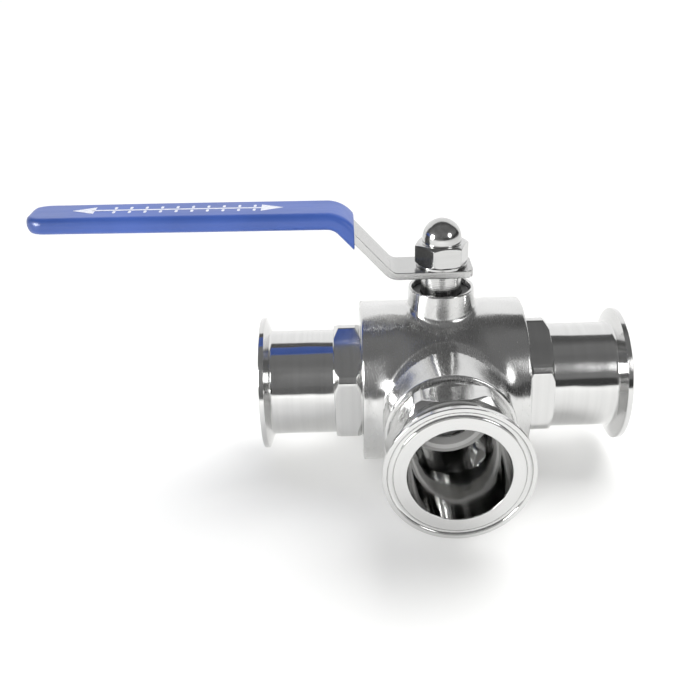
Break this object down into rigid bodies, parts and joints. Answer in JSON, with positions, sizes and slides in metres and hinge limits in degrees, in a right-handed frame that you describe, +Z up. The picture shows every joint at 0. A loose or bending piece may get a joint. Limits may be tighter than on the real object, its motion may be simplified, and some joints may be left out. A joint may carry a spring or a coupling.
{
  "type": "three way ball valve",
  "caption": "Hygienic T-port three way ball valve in polished stainless steel with clamp ferrule ends and a bent bar lever in a blue vinyl grip.",
  "frame": {"origin": "Under the middle of the whole valve's box, at the level that the barrel stands on, with the lever pointing to -X.", "axes": "+X along the straight run from the left clamp face to the right one, -Y out of the branch, +Z up the stem."},
  "size_m": [0.274, 0.1256, 0.1299],
  "materials": {
    "polished_steel": "polished",
    "machined_steel": "satin",
    "bar_steel": "satin",
    "white_seat": "satin",
    "dark_rubber": "matte",
    "blue_vinyl": "satin"
  },
  "bodies": {
    "housing": {"valve_body": "polished_steel", "left_end_connector": "polished_steel", "right_end_connector": "polished_steel", "branch_end_connector": "polished_steel", "left_seat_ring": "white_seat", "right_seat_ring": "white_seat", "branch_seat_ring": "white_seat", "left_body_seal": "dark_rubber", "right_body_seal": "dark_rubber", "branch_body_seal": "dark_rubber", "thrust_washer": "white_seat", "lower_packing_ring": "white_seat", "middle_packing_ring": "white_seat", "upper_packing_ring": "white_seat", "gland_ring": "machined_steel", "gland_nut": "machined_steel"},
    "ball_and_lever": {"ball": "polished_steel", "stem": "machined_steel", "stem_seal_ring": "dark_rubber", "lever_plate": "bar_steel", "lever_sleeve": "blue_vinyl", "lock_washer": "machined_steel", "dome_nut": "polished_steel"}
  },
  "joints": [
    {"name": "lever_turn", "type": "hinge", "parent": "housing", "child": "ball_and_lever", "pos_m": [0.05035, 0.02378, 0.03905], "axis": [0, 0, 1], "continuous": true}
  ]
}
